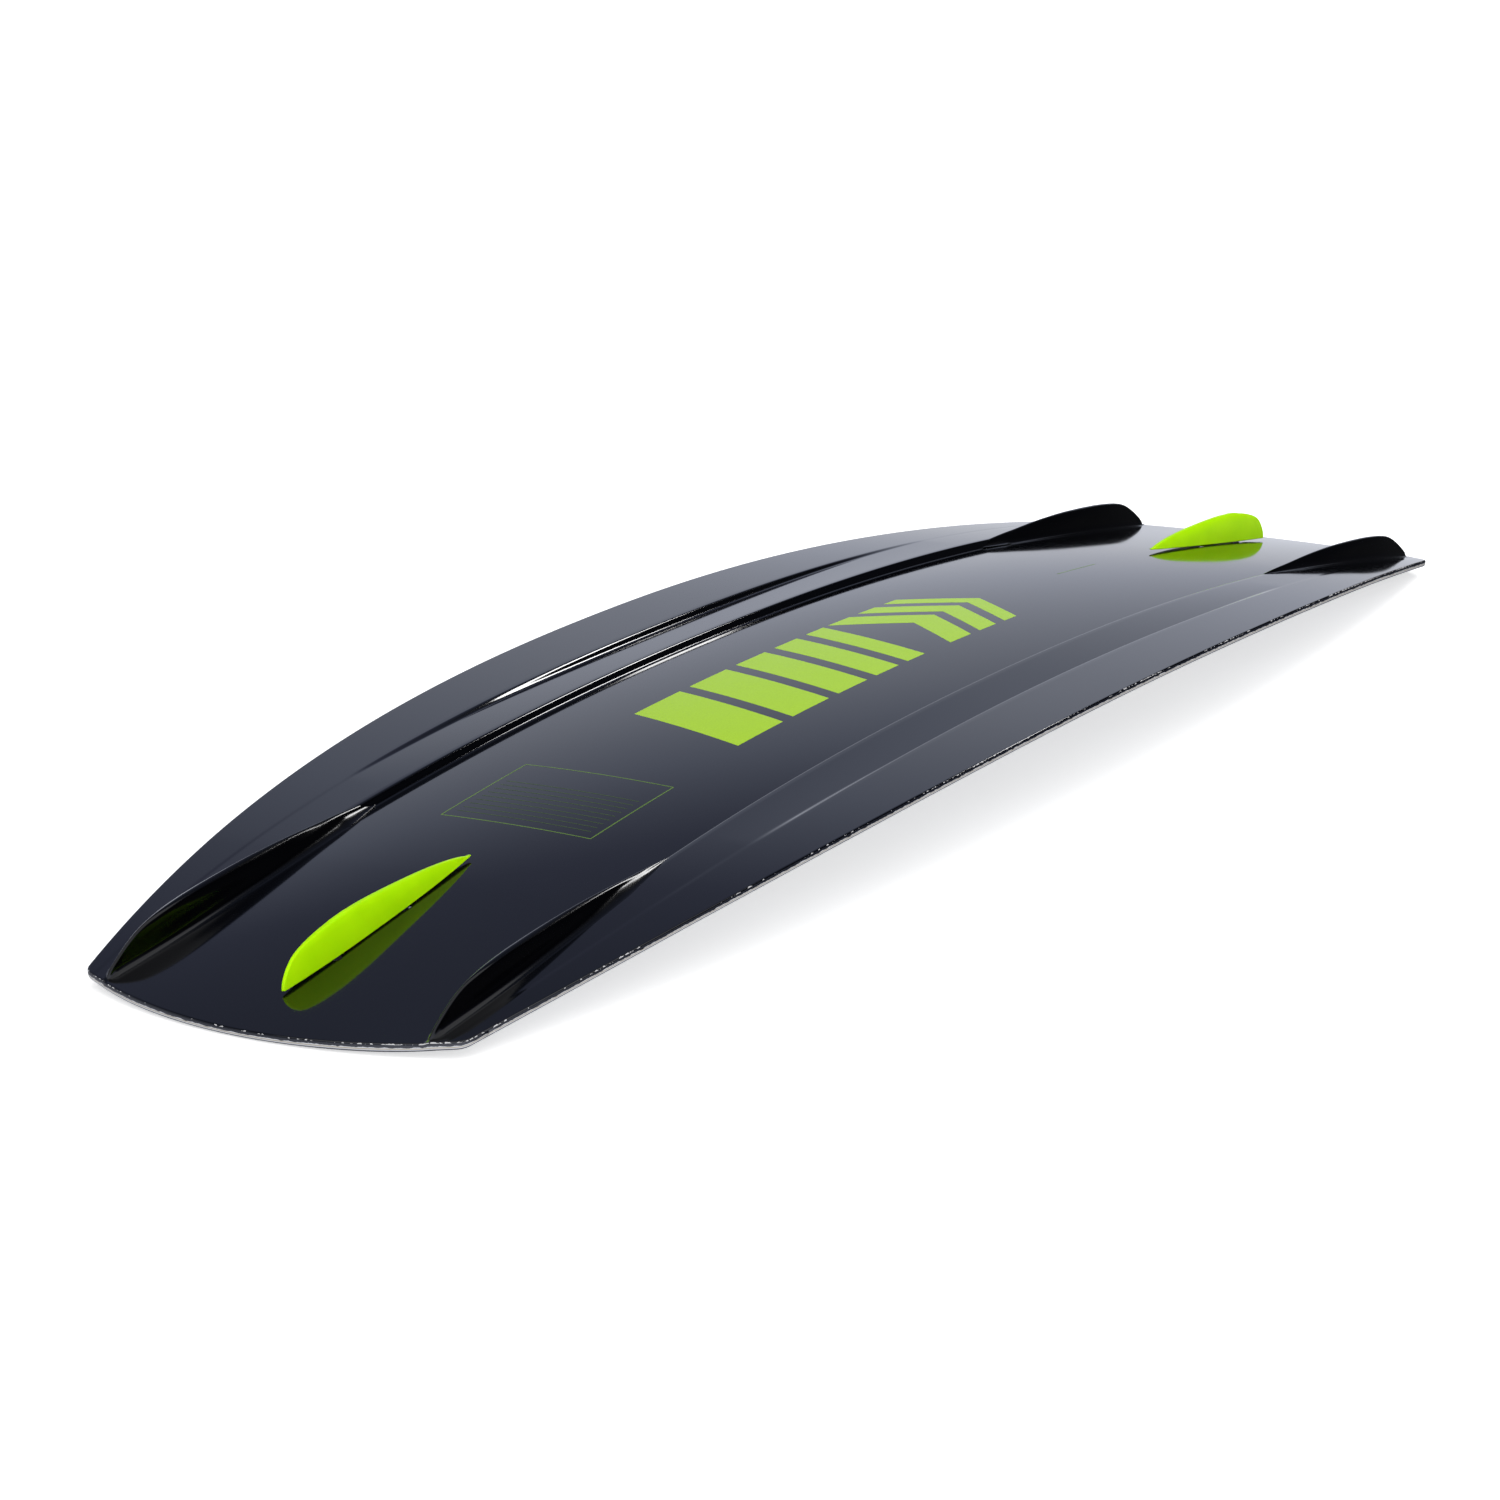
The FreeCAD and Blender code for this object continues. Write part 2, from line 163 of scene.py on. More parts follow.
def step_line(x):
    rail = rail_line(x)
    return rail + (half_width(x) - rail) * (STEP_SHARE + STEP_SPREAD * x ** 2)


def sharp_base(x, y):
    """Height of the base before its creases are rounded."""
    side = np.abs(y)
    z = rocker(x)
    rail = rail_line(x)
    step = step_line(x)
    wide = half_width(x)
    crown = CROWN * np.maximum(0.0, 1.0 - (x / CROWN_END_X) ** 4)
    sink = smooth_step(np.abs(x), FIN_LEVEL_X, LENGTH / 2)
    rail_z = z - RAIL_DROP_MID * swell(x) - PANEL_DROP_TIP * sink
    edge_z = z - EDGE_DROP_TIP - (EDGE_DROP_MID - EDGE_DROP_TIP) * swell(x)
    slope = (edge_z - rail_z) / (wide - rail)
    step_z = rail_z + slope * (step - rail)
    fade = np.maximum(0.0, 1.0 - (x / STEP_END_X) ** 2) ** 1.2
    low_z = step_z - STEP_HEIGHT * fade
    foot = rail - RAIL_RUN
    top_z = z - panel_drop(x)
    panel = top_z - crown * (PANEL_FLAT + (1.0 - PANEL_FLAT) * (side / foot) ** 2)
    foot_z = top_z - crown
    wall = foot_z + (rail_z - foot_z) * (side - foot) / RAIL_RUN
    band = rail_z + (low_z - rail_z) * (side - rail) / (step - STEP_RUN - rail)
    rise = low_z + (step_z - low_z) * (side - step + STEP_RUN) / STEP_RUN
    outer = step_z + slope * (side - step)
    zones = [side < foot, side < rail, side < step - STEP_RUN, side < step]
    return np.select(zones, [panel, wall, band, rise], outer)


def base_height(x, y):
    """Height of the base, its creases rounded by averaging across the board."""
    taps = np.linspace(-1.0, 1.0, 9)
    weights = 1.0 - np.abs(taps) * 0.8
    total = sum(w * sharp_base(x, y + t * SOFTNESS) for t, w in zip(taps, weights))
    return total / weights.sum()


def deck_height(x, y):
    """Height of the board's lower face, with its flat border and its bevel."""
    edge_z = rocker(x) - EDGE_DROP_TIP - (EDGE_DROP_MID - EDGE_DROP_TIP) * swell(x) - EDGE_THICK
    share = 1.0 - np.minimum(1.0, np.abs(2.0 * x / LENGTH)) ** 3
    full_z = rocker(x) - panel_drop(x) - TIP_THICK - (MID_THICK - TIP_THICK) * share
    inward = (half_width(x) - FLAT_EDGE - np.abs(y)) / (BEVEL_WIDTH - FLAT_EDGE)
    return edge_z + (full_z - edge_z) * np.clip(inward, 0.0, 1.0)


# ---- the board's outline ---------------------------------------------------------------------
TIP_SAG = LENGTH / 2 - CORNER_X
TIP_RADIUS = (CORNER_Y ** 2 + TIP_SAG ** 2) / (2 * TIP_SAG)
TIP_CENTRE_X = LENGTH / 2 - TIP_RADIUS


def tip_reach(y):
    """How far along the board the tip's arc is, at a distance from the middle line."""
    return TIP_CENTRE_X + np.sqrt(TIP_RADIUS ** 2 - np.minimum(np.abs(y), CORNER_Y) ** 2)


def corner_circle():
    """Centre of the arc that rounds a corner, inside both the long edge and the tip's arc."""
    x, y = CORNER_X - CORNER_ROUND, CORNER_Y - CORNER_ROUND
    for _ in range(30):
        y = half_width(x) - CORNER_ROUND * math.hypot(1.0, edge_slope(x))
        x = TIP_CENTRE_X + math.sqrt((TIP_RADIUS - CORNER_ROUND) ** 2 - y * y)
    return float(x), float(y)


ROUND_X, ROUND_Y = corner_circle()


def corner_angles():
    """Where the corner's arc leaves the long edge and meets the tip's arc."""
    return math.atan2(1.0, -edge_slope(ROUND_X)), math.atan2(ROUND_Y, ROUND_X - TIP_CENTRE_X)


def quarter_outline():
    """The outline from the middle of the left edge to the middle of the tail's tip."""
    start, end = corner_angles()
    x = np.linspace(0.0, ROUND_X + CORNER_ROUND * math.cos(start), 110)
    side = np.column_stack([x, half_width(x)])
    turn = np.linspace(start, end, 12)[1:-1]
    corner = np.column_stack(
        [ROUND_X + CORNER_ROUND * np.cos(turn), ROUND_Y + CORNER_ROUND * np.sin(turn)]
    )
    swing = np.linspace(end, 0.0, 50)
    tip = np.column_stack([TIP_CENTRE_X + TIP_RADIUS * np.cos(swing), TIP_RADIUS * np.sin(swing)])
    return np.vstack([side, corner, tip])


def whole_outline():
    """The closed outline, clockwise from the middle of the left edge."""
    quarter = quarter_outline()
    right = quarter[::-1][1:] * (1, -1)
    half = np.vstack([quarter, right])
    other = half[::-1][1:-1] * (-1, 1)
    return np.vstack([half, other])


OUTLINE = whole_outline()


def distance_in(points):
    """Distance from each point to the outline."""
    a = OUTLINE
    b = np.roll(OUTLINE, -1, axis=0)
    run = b - a
    found = np.empty(len(points))
    for i in range(0, len(points), 2000):
        offset = points[i:i + 2000, None, :] - a
        share = np.clip((offset * run).sum(2) / (run * run).sum(1), 0.0, 1.0)
        found[i:i + 2000] = np.linalg.norm(offset - share[..., None] * run, axis=2).min(1)
    return found


# ---- mesh helpers ----------------------------------------------------------------------------
def grid_faces(rows, columns, first=0, closed=False):
    """Quads of a grid of points, row by row; closed joins the last column to the first."""
    faces = []
    for i in range(rows - 1):
        for j in range(columns if closed else columns - 1):
            a = first + i * columns + j
            b = first + i * columns + (j + 1) % columns
            faces.append((a, b, b + columns, a + columns))
    return faces


def make_piece(name, points, faces, material, body, stands_for=(), smooth=True):
    """A mesh piece that rides on a body and may stand for CAD nodes."""
    mesh = bpy.data.meshes.new(name)
    mesh.from_pydata([tuple(p) for p in points], [], faces)
    mesh.validate()
    mesh.polygons.foreach_set("use_smooth", [smooth] * len(mesh.polygons))
    mesh.update()
    piece = bpy.data.objects.new(name, mesh)
    bpy.context.scene.collection.objects.link(piece)
    mesh.materials.append(material)
    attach(piece, body)
    if stands_for:
        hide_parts(*stands_for)
    return piece


def point_value(piece, name, values):
    """A value at each point, for a material to read."""
    attribute = piece.data.attributes.new(name, "FLOAT", "POINT")
    attribute.data.foreach_set("value", np.asarray(values, np.float32))


# ---- materials -------------------------------------------------------------------------------
class Nodes:
    """Short calls for one node tree."""

    def __init__(self, tree):
        self.tree = tree

    def node(self, kind, inputs=None, **settings):
        """A new node, with its settings and what goes into its sockets."""
        made = self.tree.nodes.new("ShaderNode" + kind)
        for key, value in settings.items():
            setattr(made, key, value)
        for key, value in (inputs or {}).items():
            self.put(value, made.inputs[key])
        return made

    def put(self, value, socket):
        """Links an output, or sets a plain value."""
        if isinstance(value, bpy.types.NodeSocket):
            self.tree.links.new(value, socket)
        else:
            socket.default_value = value

    def place(self):
        """Places in the board's frame, in metres."""
        return self.node("TexCoord").outputs["Object"]

    def stretched(self, scale):
        mapping = self.node("Mapping", {"Vector": self.place(), "Scale": scale})
        return mapping.outputs["Vector"]

    def noise(self, scale, detail=3.0, vector=None):
        inputs = {"Vector": vector or self.place(), "Scale": scale, "Detail": detail}
        return self.node("TexNoise", inputs).outputs["Fac"]

    def value(self, name):
        return self.node("Attribute", attribute_name=name).outputs["Fac"]

    def math(self, operation, *values):
        made = self.node("Math", operation=operation)
        for socket, value in zip(made.inputs, values):
            self.put(value, socket)
        return made.outputs[0]

    def ramp(self, value, *stops):
        """Colours at positions from 0 to 1."""
        made = self.node("ValToRGB", {"Fac": value})
        elements = made.color_ramp.elements
        while len(elements) < len(stops):
            elements.new(1.0)
        for element, (position, colour) in zip(elements, stops):
            element.position = position
            element.color = colour if len(colour) == 4 else (*colour, 1.0)
        return made.outputs["Color"]

    def between(self, value, low, high):
        """value, taken from 0..1 to low..high."""
        made = self.node("MapRange", {"Value": value, "To Min": low, "To Max": high})
        return made.outputs["Result"]

    def mix(self, factor, first, second):
        made = self.node("Mix", data_type="RGBA")
        self.put(factor, made.inputs["Factor"])
        self.put(first, made.inputs[6])
        self.put(second, made.inputs[7])
        return made.outputs[2]

    def dim(self, colour, share):
        made = self.node("VectorMath", operation="SCALE")
        self.put(colour, made.inputs[0])
        self.put(share, made.inputs["Scale"])
        return made.outputs[0]

    def bump(self, height, distance, strength=1.0):
        inputs = {"Height": height, "Distance": distance, "Strength": strength}
        return self.node("Bump", inputs).outputs["Normal"]


class Paint(Nodes):
    """A material and its shader."""

    def __init__(self, name, **sockets):
        self.material = bpy.data.materials.new(name)
        self.material.use_nodes = True
        super().__init__(self.material.node_tree)
        self.shader = self.tree.nodes["Principled BSDF"]
        self.set(**sockets)

    def set(self, **sockets):
        """Sets or links shader sockets; an underscore stands for a space."""
        for socket, value in sockets.items():
            self.put(value, self.shader.inputs[socket.replace("_", " ")])
        return self


def rgb(*colour):
    return (*colour, 1.0)


def base_paint():
    """Navy-black gelcoat with a very fine speckle, chipped at its rim."""
    paint = Paint("base_gelcoat", IOR=1.5)
    fine = paint.noise(1400.0, 2.0)
    cloud = paint.noise(9.0, 2.0)
    speck = paint.ramp(fine, (0.4, (0.0002, 0.0003, 0.0008)), (0.75, (0.0024, 0.0026, 0.0032)))
    tone = paint.mix(cloud, speck, rgb(0.0003, 0.0004, 0.0009))
    inset = paint.value("inset")
    chips = paint.noise(300.0, 5.0)
    patches = paint.between(paint.noise(14.0, 2.0), -0.0012, 0.0012)
    reach = paint.math("ADD", paint.between(chips, -0.0018, 0.0014), patches)
    worn = paint.math("LESS_THAN", inset, reach)
    colour = paint.mix(worn, tone, rgb(0.46, 0.46, 0.47))
    rough = paint.between(paint.noise(35.0, 4.0), 0.05, 0.09)
    relief = paint.bump(cloud, 0.00002, 0.3)
    return paint.set(Base_Color=colour, Roughness=rough, Normal=relief).material


def edge_paint():
    """Gelcoat that ends in a chipped line, a pale band with a buff core, and a black rim."""
    paint = Paint("edge_laminate", IOR=1.5, Roughness=0.35)
    depth = paint.value("depth")
    wander = paint.between(paint.noise(30.0, 3.0), -0.04, 0.04)
    level = paint.math("ADD", depth, wander)
    pale = rgb(0.44, 0.45, 0.48)
    buff = rgb(0.30, 0.27, 0.22)
    grey = rgb(0.16, 0.17, 0.20)
    black = rgb(0.005, 0.005, 0.007)
    bands = paint.ramp(
        level, (0.0, pale), (0.42, pale), (0.46, buff), (0.56, buff), (0.60, pale),
        (0.67, pale), (0.69, grey), (0.73, grey), (0.76, black), (1.0, black),
    )
    chips = paint.between(paint.noise(220.0, 4.0), 0.14, 0.56)
    gelcoat = paint.math("LESS_THAN", depth, chips)
    streak = paint.noise(1.0, 3.0, paint.stretched((400.0, 400.0, 3000.0)))
    pale_side = paint.dim(bands, paint.between(streak, 0.75, 1.1))
    colour = paint.mix(gelcoat, pale_side, rgb(0.004, 0.005, 0.010))
    relief = paint.bump(streak, 0.00005, 0.4)
    return paint.set(Base_Color=colour, Normal=relief).material


def side_fin_paint():
    """Moulded black, like the gelcoat but with less gloss."""
    paint = Paint("moulded_fin", IOR=1.35)
    fine = paint.noise(1400.0, 2.0)
    tone = paint.ramp(fine, (0.35, (0.0002, 0.0002, 0.0004)), (0.75, (0.0006, 0.0006, 0.0010)))
    rough = paint.between(paint.noise(60.0, 4.0), 0.08, 0.14)
    relief = paint.bump(paint.noise(40.0, 2.0), 0.00002, 0.2)
    return paint.set(Base_Color=tone, Roughness=rough, Normal=relief).material


def lime_fin_paint():
    """Moulded lime plastic that lets a little light through."""
    paint = Paint("lime_plastic", IOR=1.15, Subsurface_Weight=0.2, Subsurface_Scale=0.004)
    cloud = paint.noise(40.0, 4.0)
    tone = paint.ramp(cloud, (0.3, (0.39, 0.79, 0.0)), (0.7, (0.44, 0.85, 0.001)))
    rough = paint.between(paint.noise(200.0, 3.0), 0.34, 0.46)
    relief = paint.bump(paint.noise(500.0, 3.0), 0.00003, 0.3)
    return paint.set(Base_Color=tone, Roughness=rough, Normal=relief).material


def print_paint(name, dark, light):
    """Ink under the base's clear skin, with less gloss than the gelcoat round it."""
    paint = Paint(name, IOR=1.18)
    tone = paint.ramp(paint.noise(900.0, 2.0), (0.3, dark), (0.7, light))
    rough = paint.between(paint.noise(35.0, 4.0), 0.2, 0.3)
    return paint.set(Base_Color=tone, Roughness=rough).material


def deck_paint():
    """Satin black deck with broad diagonal bands in a slightly lighter tone."""
    paint = Paint("deck_satin", IOR=1.5)
    place = paint.node("SeparateXYZ", {"Vector": paint.place()})
    slanted = paint.math("MULTIPLY", place.outputs["X"], 9.0)
    skew = paint.math("MULTIPLY_ADD", place.outputs["Y"], 14.0, slanted)
    stripe = paint.math("PINGPONG", skew, 1.0)
    fine = paint.noise(1200.0, 2.0)
    band = paint.ramp(
        stripe, (0.0, (0.010, 0.012, 0.016)), (0.48, (0.010, 0.012, 0.016)),
        (0.5, (0.030, 0.036, 0.046)), (1.0, (0.020, 0.024, 0.032)),
    )
    rough = paint.between(paint.noise(50.0, 4.0), 0.32, 0.48)
    relief = paint.bump(fine, 0.00003, 0.6)
    return paint.set(Base_Color=band, Roughness=rough, Normal=relief).material


def woven_paint(name):
    """Glass cloth: two crossed waves."""
    paint = Paint(name, IOR=1.5, Roughness=0.4)
    along = paint.node("TexWave", {"Vector": paint.place(), "Scale": 500.0})
    across = paint.node("TexWave", {"Vector": paint.place(), "Scale": 500.0}, bands_direction="Y")
    weave = paint.math("MULTIPLY", along.outputs["Fac"], across.outputs["Fac"])
    tone = paint.ramp(weave, (0.1, (0.10, 0.16, 0.13)), (0.8, (0.30, 0.38, 0.33)))
    relief = paint.bump(weave, 0.0001, 0.6)
    return paint.set(Base_Color=tone, Normal=relief).material


def foam_paint():
    """Pale core foam with fine cells."""
    paint = Paint("closed_cell_foam", Roughness=0.85)
    cells = paint.node("TexVoronoi", {"Vector": paint.place(), "Scale": 900.0})
    depth = cells.outputs["Distance"]
    tone = paint.ramp(depth, (0.0, (0.72, 0.66, 0.50)), (0.6, (0.85, 0.80, 0.66)))
    relief = paint.bump(depth, 0.0002, 0.8)
    return paint.set(Base_Color=tone, Normal=relief).material


def wood_paint():
    paint = Paint("stringer_grain", Roughness=0.6)
    grain = paint.noise(1.0, 6.0, paint.stretched((6.0, 700.0, 700.0)))
    tone = paint.ramp(grain, (0.3, (0.30, 0.17, 0.08)), (0.7, (0.60, 0.42, 0.24)))
    relief = paint.bump(grain, 0.0001, 0.5)
    return paint.set(Base_Color=tone, Normal=relief).material


def block_paint():
    """Dense dark foam round the inserts."""
    paint = Paint("dense_block_foam", Roughness=0.8)
    cells = paint.node("TexVoronoi", {"Vector": paint.place(), "Scale": 2500.0})
    depth = cells.outputs["Distance"]
    tone = paint.ramp(depth, (0.0, (0.10, 0.10, 0.11)), (0.6, (0.20, 0.20, 0.22)))
    relief = paint.bump(depth, 0.0001, 0.6)
    return paint.set(Base_Color=tone, Normal=relief).material


def metal_paint(name, tones, low, high):
    """Turned metal: fine scratches and uneven polish."""
    dark, light = tones
    paint = Paint(name, Metallic=1.0)
    scratch = paint.noise(1.0, 5.0, paint.stretched((300.0, 300.0, 6000.0)))
    tone = paint.ramp(scratch, (0.3, dark), (0.7, light))
    rough = paint.between(paint.noise(400.0, 4.0), low, high)
    relief = paint.bump(scratch, 0.00003, 0.5)
    return paint.set(Base_Color=tone, Roughness=rough, Normal=relief).material


def sleeve_paint():
    paint = Paint("moulded_sleeve", Roughness=0.5)
    cloud = paint.noise(300.0, 3.0)
    tone = paint.ramp(cloud, (0.3, (0.02, 0.02, 0.022)), (0.7, (0.05, 0.05, 0.055)))
    relief = paint.bump(cloud, 0.00005, 0.4)
    return paint.set(Base_Color=tone, Normal=relief).material


# ---- the base's outer sheet ------------------------------------------------------------------
def spread(start, end, count):
    """Even steps from start to end, without start."""
    return np.linspace(start, end, count + 1)[1:]


# lanes of the mesh about a channel's crest, in metres from it
CREASE = np.array(
    [-4.4, -3.9, -3.4, -2.9, -2.5, -2.1, -1.7, -1.2, -0.7, -0.2, 0.3, 0.8, 1.4]
) / 1000
RIM_TURN = np.radians([0.0, 25.0, 45.0, 65.0, 90.0])
RIM_INSETS = np.concatenate([[0.0036, 0.0024, 0.0015], SHEET * (1.0 - np.sin(RIM_TURN))])
ROWS_ALONG = 281
CLOSER_AT_ENDS = 0.43      # of pi: how much closer the rows get towards the tips
BAND_LANES = 9
OUTER_LANES = 12
PANEL_LANES = 16


def lane_places(x):
    """Distances of the mesh's lanes from the middle line, at one place along the board."""
    rail, step, wide = rail_line(x), step_line(x), half_width(x)
    panel = np.linspace(0.0, rail + CREASE[0], PANEL_LANES + 1)[:-1]
    inner = rail + CREASE
    band = spread(inner[-1], step + CREASE[0], BAND_LANES)[:-1]
    outer_crease = step + CREASE
    outer = spread(outer_crease[-1], wide - RIM_INSETS[0], OUTER_LANES)[:-1]
    return np.concatenate([panel, inner, band, outer_crease, outer, wide - RIM_INSETS])


def lane_ends():
    """How far along the board each lane reaches, where it meets the tip's arc."""
    ends = []
    for lane in range(len(lane_places(0.0))):
        x = CORNER_X
        for _ in range(6):
            x = float(tip_reach(lane_places(x)[lane]))
        ends.append(x)
    return np.array(ends)


def base_grid():
    """Places of the base's points in plan, row by row along the board."""
    ends = lane_ends()
    swing = np.linspace(-CLOSER_AT_ENDS, CLOSER_AT_ENDS, ROWS_ALONG) * math.pi
    inner = np.sin(swing) / math.sin(CLOSER_AT_ENDS * math.pi)
    rows = []
    for inset in RIM_INSETS[::-1][:-1]:
        rows.append(-(ends - inset))
    for share in inner:
        rows.append(share * (ends - RIM_INSETS[0]))
    for inset in RIM_INSETS[1:]:
        rows.append(ends - inset)
    grid = []
    for row in rows:
        side = np.array([lane_places(x)[lane] for lane, x in enumerate(row)])
        left = np.column_stack([row, side])
        grid.append(np.vstack([left[::-1], left[1:] * (1, -1)]))
    return np.array(grid)


def pull_into_corners(points):
    """Moves what lies beyond a corner's arc onto it."""
    x, y = np.abs(points[:, 0]) - ROUND_X, np.abs(points[:, 1]) - ROUND_Y
    angle = np.arctan2(y, x)
    high, low = corner_angles()
    reach = np.hypot(x, y)
    beyond = (reach > CORNER_ROUND) & (angle > low) & (angle < high)
    scale = np.where(beyond, CORNER_ROUND / np.maximum(reach, 1e-9), 1.0)
    moved = np.column_stack([ROUND_X + x * scale, ROUND_Y + y * scale])
    return np.where(beyond[:, None], moved * np.sign(points), points)


def rim_drop(inset):
    """The sheet rolls over its rim in a quarter round as deep as the sheet."""
    near = np.clip(1.0 - inset / SHEET, 0.0, 1.0)
    return SHEET * (1.0 - np.sqrt(1.0 - near ** 2))


def base_sheet(material):
    """The base's skin, top and underside, with the screw holes cut through it."""
    grid = base_grid()
    rows, columns, _ = grid.shape
    flat = pull_into_corners(grid.reshape(-1, 2))
    inset = distance_in(flat)
    height = base_height(flat[:, 0], flat[:, 1])
    top = np.column_stack([flat, height - rim_drop(inset)])
    under = np.column_stack([flat, height - SHEET])
    faces = grid_faces(rows, columns)
    count = len(top)
    below = [tuple(count + i for i in reversed(face)) for face in faces]
    piece = make_piece(
        "base_skin", np.vstack([top, under]), faces + below, material, "board",
        ["base_sheet"],
    )
    point_value(piece, "inset", np.concatenate([inset, inset]))
    drill(piece, ENDS, SLEEVE_R, (-0.005, 0.005))


# ---- the edge --------------------------------------------------------------------------------
# distance in from the outline and share of the way from the base sheet to the deck
EDGE_PROFILE = (
    (EDGE_WIDTH, 0.00), (0.0002, 0.00), (0.0, 0.05), (0.0, 0.25), (0.0001, 0.50),
    (0.0003, 0.68), (0.0007, 0.84), (0.0013, 0.94), (0.0022, 1.00), (EDGE_WIDTH, 1.00),
)


def edge_strips(material):
    """Four strips: two long edges and two tips."""
    along = np.roll(OUTLINE, -1, axis=0) - np.roll(OUTLINE, 1, axis=0)
    along /= np.linalg.norm(along, axis=1)[:, None]
    inward = np.column_stack([along[:, 1], -along[:, 0]])
    at_tip = np.abs(OUTLINE[:, 0]) > EDGE_SPLIT_X
    for run in split_runs(at_tip):
        middle = OUTLINE[run].mean(axis=0)
        if at_tip[run[len(run) // 2]]:
            name = "nose" if middle[0] < 0 else "tail"
        else:
            name = "left" if middle[1] > 0 else "right"
        edge_strip("edge_" + name, OUTLINE[run], inward[run], material)


def split_runs(at_tip):
    """Indices of the outline's four runs, each reaching one point into the next."""
    count = len(at_tip)
    starts = [i for i in range(count) if at_tip[i] != at_tip[i - 1]]
    runs = []
    for start, end in zip(starts, starts[1:] + [starts[0] + count]):
        runs.append([i % count for i in range(start, end + 1)])
    return runs


def edge_strip(name, path, inward, material):
    """The edge's profile, swept along one run of the outline."""
    points, depths = [], []
    for place, direction in zip(path, inward):
        for inset, share in EDGE_PROFILE:
            x, y = place + direction * inset
            high = float(base_height(x, y)) - SHEET
            low = float(deck_height(x, y))
            points.append((x, y, high + (low - high) * share))
            depths.append(share)
    columns = len(EDGE_PROFILE)
    faces = grid_faces(len(path), columns, closed=True)
    last = len(points) - columns
    faces.append(tuple(range(columns)))
    faces.append(tuple(last + i for i in reversed(range(columns))))
    piece = make_piece(name + "_strip", points, faces, material, "board", [name])
    point_value(piece, "depth", depths)
    recalculate_normals(piece)


def recalculate_normals(piece):
    """Turns every face outward."""
    mesh = bmesh.new()
    mesh.from_mesh(piece.data)
    bmesh.ops.recalc_face_normals(mesh, faces=mesh.faces)
    mesh.to_mesh(piece.data)
    mesh.free()


# ---- fins ------------------------------------------------------------------------------------
def fin_tilt(x):
    """The slope of the rocker under a fin."""
    share = abs(2.0 * x / LENGTH)
    return math.atan(ROCKER * ROCKER_POWER * share ** (ROCKER_POWER - 1.0) / (LENGTH / 2))


def fin_frame(end, x, y, drop):
    """Local X runs to the tip along the base, local Z straight out of the base."""
    sign = ENDS[end]
    turn = Matrix.Rotation(0.0 if sign > 0 else math.pi, 4, "Z")
    tilt = Matrix.Rotation(fin_tilt(x), 4, "Y")
    return Matrix.Translation((sign * x, y, float(rocker(x)) - drop)) @ turn @ tilt


def placed(matrix, points):
    """The points, moved by a matrix."""
    m = np.array(matrix)
    return points @ m[:3, :3].T + m[:3, 3]


def between_rows(rows, steps):
    """More rows, on a smooth curve through the given ones."""
    rows = np.array(rows)
    padded = np.vstack([2 * rows[0] - rows[1], rows, 2 * rows[-1] - rows[-2]])
    made = []
    for before, a, b, after in zip(padded, padded[1:], padded[2:], padded[3:]):
        for t in np.arange(steps) / steps:
            bend = (2 * before - 5 * a + 4 * b - after) * t ** 2
            twist = (3 * a - before - 3 * b + after) * t ** 3
            made.append((2 * a + (b - before) * t + bend + twist) / 2)
    made.append(rows[-1])
    return np.array(made)


def section_half(share, reach, half, nose):
    """Half thickness of a level fin section with its ends rounded to a radius."""
    nose = np.minimum(nose, half * 0.9)
    to_end = reach * (1.0 - np.abs(share))
    cap = np.sqrt(np.maximum(0.0, nose ** 2 - np.maximum(0.0, nose - to_end) ** 2))
    return cap + (half - nose) * (1.0 - np.abs(share) ** SECTION_FULLNESS)


def end_shares(reach, nose, count):
    """Shares from -1 to 1 with extra ones in the rounded ends."""
    close = 1.0 - nose * np.array([0.0, 0.06, 0.25, 0.6, 1.0]) / reach
    middle = np.sin(np.linspace(-0.5, 0.5, count + 1) * math.pi * 0.95)
    middle = middle / middle[-1] * close[-1]
    return np.concatenate([-close[:-1], middle, close[:-1][::-1]])


def loop_of(height, inner, outer, half, nose, count=34):
    """Points round one level section, its ends rounded to the radius nose."""
    middle, reach = (inner + outer) / 2, (outer - inner) / 2
    nose = min(nose, half * 0.9, reach * 0.4)
    shares = end_shares(reach, nose, count)
    side = section_half(shares, reach, half, nose)
    x = middle + reach * shares
    left = np.column_stack([x, side])
    right = np.column_stack([x[::-1], -side[::-1]])[1:-1]
    loop = np.vstack([left, right])
    return np.column_stack([loop, np.full(len(loop), height)])


def centre_fin_levels():
    """Level sections of a bolted fin, with its foot and its ridge rounded."""
    rows = between_rows(FIN_SECTIONS, 5)
    _, inner, outer, half = rows[0]
    levels = []
    for share in (1.0, 0.6, 0.25, 0.0):
        pull = FOOT_ROLL * share ** 2
        height = FIN_GAP + FOOT_ROLL * (1.0 - share)
        levels.append((height, inner + pull, outer - pull, half - pull))
    levels += [tuple(row) for row in rows if row[0] > FIN_GAP + FOOT_ROLL + 0.0001]
    height, inner, outer, half = rows[-1]
    centre, reach = (inner + outer) / 2, (outer - inner) / 2
    for turn in np.radians([30.0, 55.0, 75.0]):
        shrunk = reach * math.cos(turn)
        top = height + RIDGE_RISE * math.sin(turn)
        levels.append((top, centre - shrunk, centre + shrunk, half * math.cos(turn)))
    return levels


